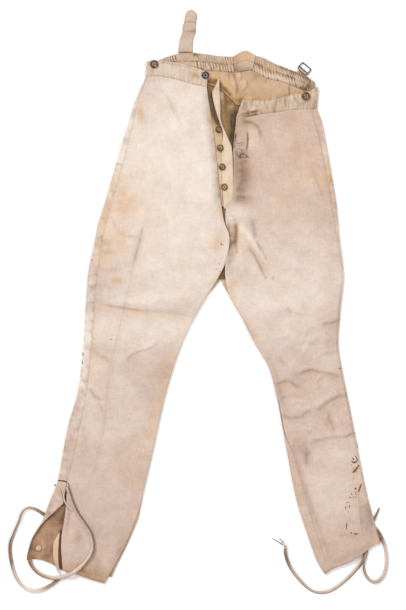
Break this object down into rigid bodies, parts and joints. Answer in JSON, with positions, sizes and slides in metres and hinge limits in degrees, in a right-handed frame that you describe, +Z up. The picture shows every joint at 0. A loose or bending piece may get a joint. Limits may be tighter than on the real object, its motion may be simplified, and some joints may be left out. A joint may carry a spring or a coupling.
{
  "type": "breeches",
  "caption": "Pair of long ankle-tied breeches laid flat on their back, with a buttoned fly, brace buttons, gathered back waist, cinch strap and buckle.",
  "frame": {"origin": "on the table, under the middle of the breeches' outline without the loose tapes", "axes": "+X towards the wearer's left leg, +Y towards the waist, +Z up from the table, so the front of the breeches faces +Z"},
  "size_m": [0.7594, 1.1685, 0.0115],
  "materials": {
    "right_cloth": "napped cream cotton, worn",
    "left_cloth": "napped buff cotton, worn",
    "waist_cloth": "buff cotton",
    "lining": "plain tan cotton",
    "fly_cream": "plain cream cotton",
    "facing": "matt brown, like suede",
    "gusset": "dark brown, in shadow",
    "tape": "matt cotton tape",
    "brass": "dull, browned",
    "grey_metal": "dull dark grey",
    "black_wire": "black japanned wire"
  },
  "bodies": {
    "breeches": {"right_leg_back": "right_cloth", "right_leg_front": "right_cloth", "left_leg_back": "left_cloth", "left_leg_front": "left_cloth", "waistband_front_right": "waist_cloth", "waistband_front_left": "waist_cloth", "waistband_back_right": "waist_cloth", "waistband_back_left": "waist_cloth", "waistband_back_centre": "waist_cloth", "waist_lining_right": "lining", "waist_lining_left": "lining", "fly_button_stand": "lining", "fly_underlap": "fly_cream", "fly_button_1": "brass", "fly_button_2": "brass", "fly_button_3": "brass", "fly_button_4": "brass", "waist_button": "grey_metal", "brace_button_right": "brass", "brace_button_left": "brass", "crotch_gusset": "gusset", "right_vent_facing": "facing", "right_vent_turnback": "left_cloth", "ankle_button": "facing", "cinch_strap": "waist_cloth", "buckle_chape": "waist_cloth", "right_tape_outer": "tape", "right_tape_inner": "tape", "right_tape_strand": "tape", "left_tape_long": "tape", "left_tape_loop": "tape", "left_tape_stub": "tape", "left_tape_tail_1": "tape", "left_tape_tail_2": "tape", "left_tape_knot": "tape"},
    "buckle": {"cinch_buckle": "black_wire"}
  },
  "joints": [
    {"name": "buckle_swing", "type": "hinge", "parent": "breeches", "child": "buckle", "pos_m": [0.19675, 0.44921, 0.0023], "axis": [0.766, -0.6428, 0], "range_deg": [0, 120]}
  ]
}
